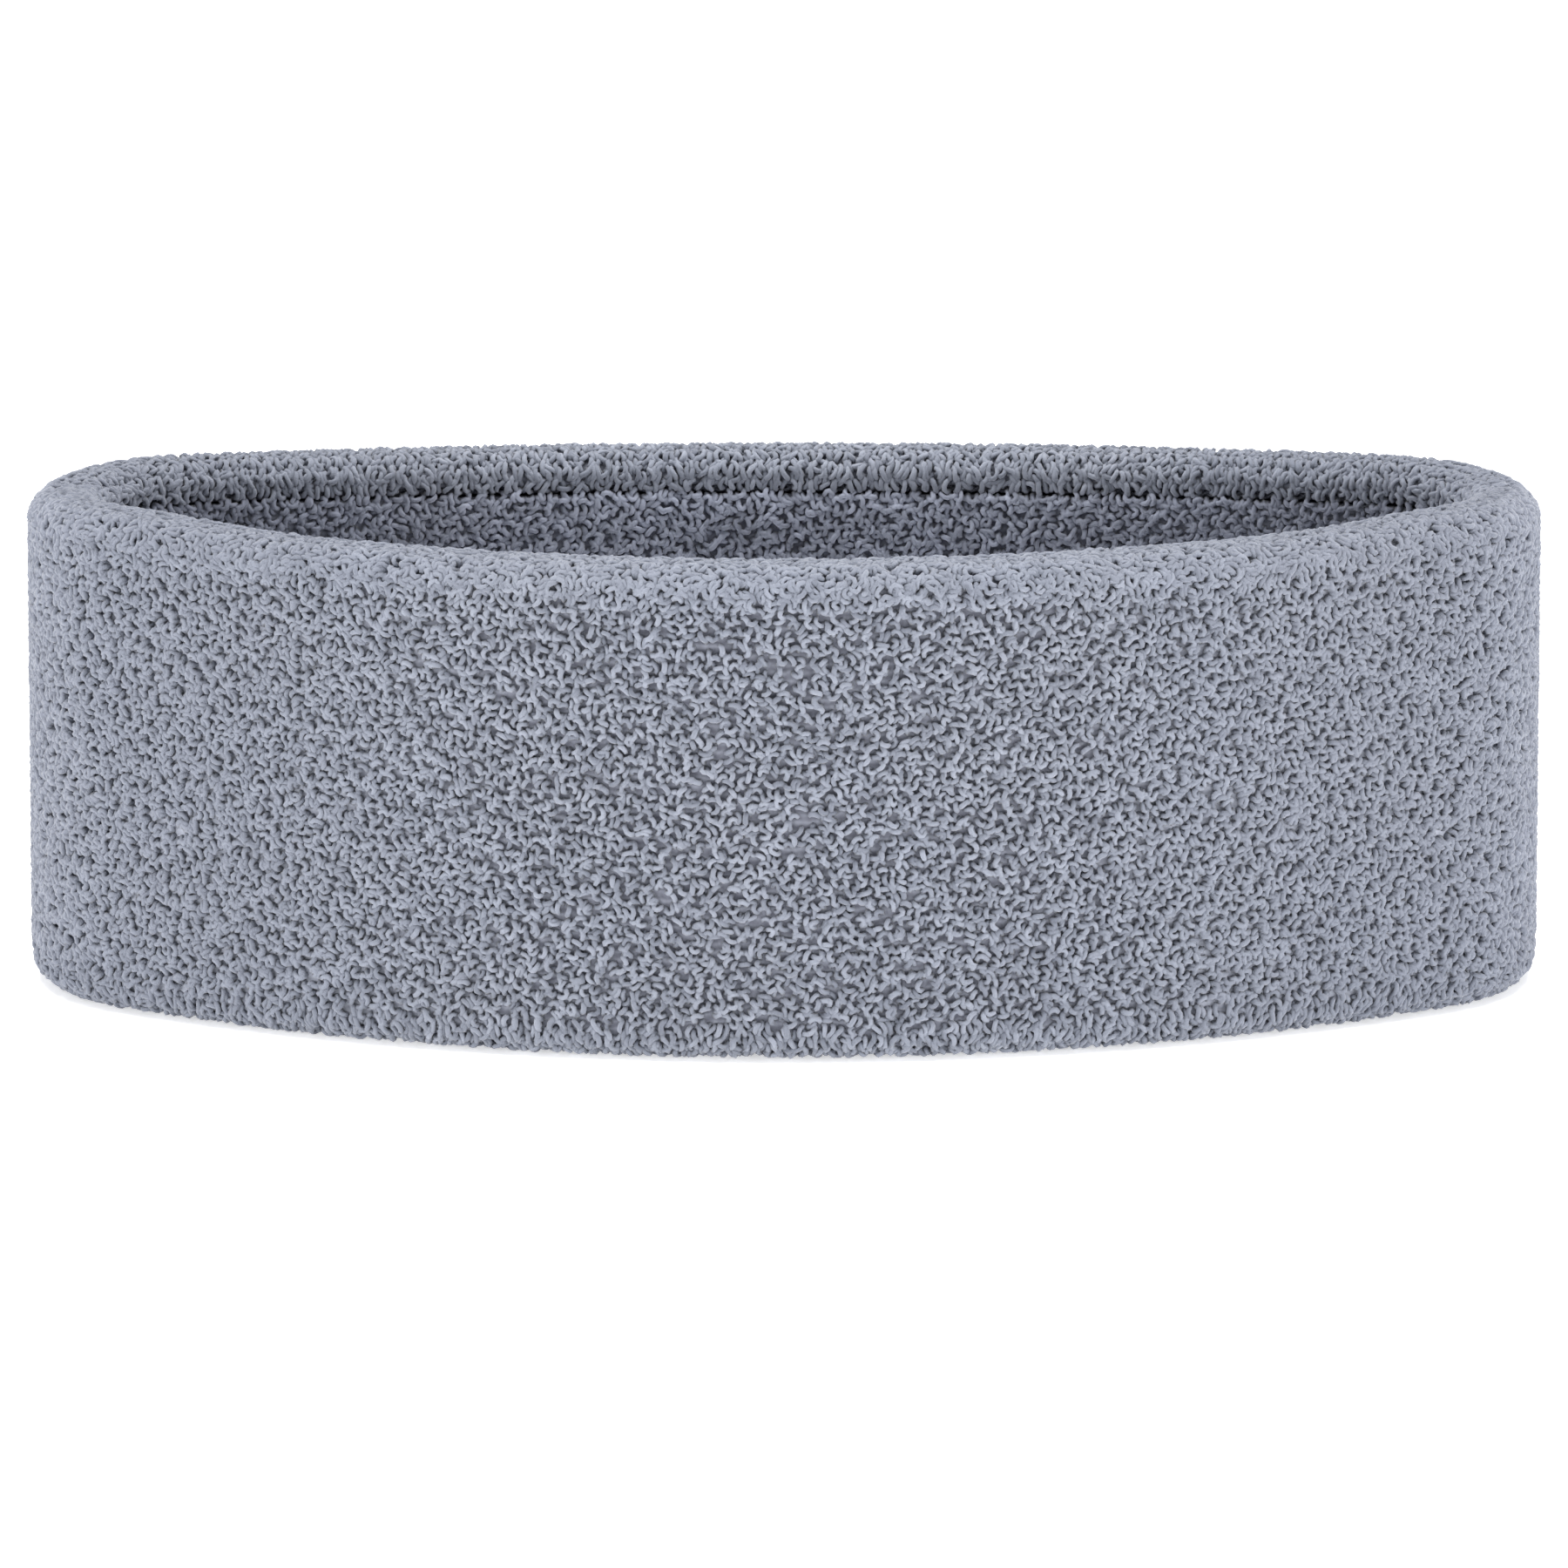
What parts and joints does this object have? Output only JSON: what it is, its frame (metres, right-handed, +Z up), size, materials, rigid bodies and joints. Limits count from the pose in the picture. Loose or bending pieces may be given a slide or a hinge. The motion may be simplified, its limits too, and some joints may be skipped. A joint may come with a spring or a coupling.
{
  "type": "sports headband",
  "caption": "Doubled towelling sweatband that circles the head to absorb sweat, standing open as a bowed oval ring with rounded folded edges.",
  "frame": {"origin": "middle of the footprint's bounding box, on the surface that the lower edge rests on", "axes": "+Z up through the head opening, -Y to the bowed front, +X to the side; the band is mirror-symmetric about the YZ plane and widest along X"},
  "size_m": [0.1776, 0.068, 0.0589],
  "materials": {
    "terry_outer": "looped cotton towelling, heather grey",
    "terry_inner": "looped cotton towelling, heather grey",
    "ground_knit": "fine dense knit",
    "elastic": "covered elastane yarn, matt",
    "seam_thread": "spun polyester thread"
  },
  "bodies": {
    "root": {"outer_pile": "terry_outer", "inner_pile": "terry_inner", "top_edge_pile": "terry_outer", "bottom_edge_pile": "terry_outer", "knit_sleeve": "ground_knit", "outer_elastic_yarns": "elastic", "inner_elastic_yarns": "elastic", "closing_seam": "seam_thread"}
  },
  "joints": []
}
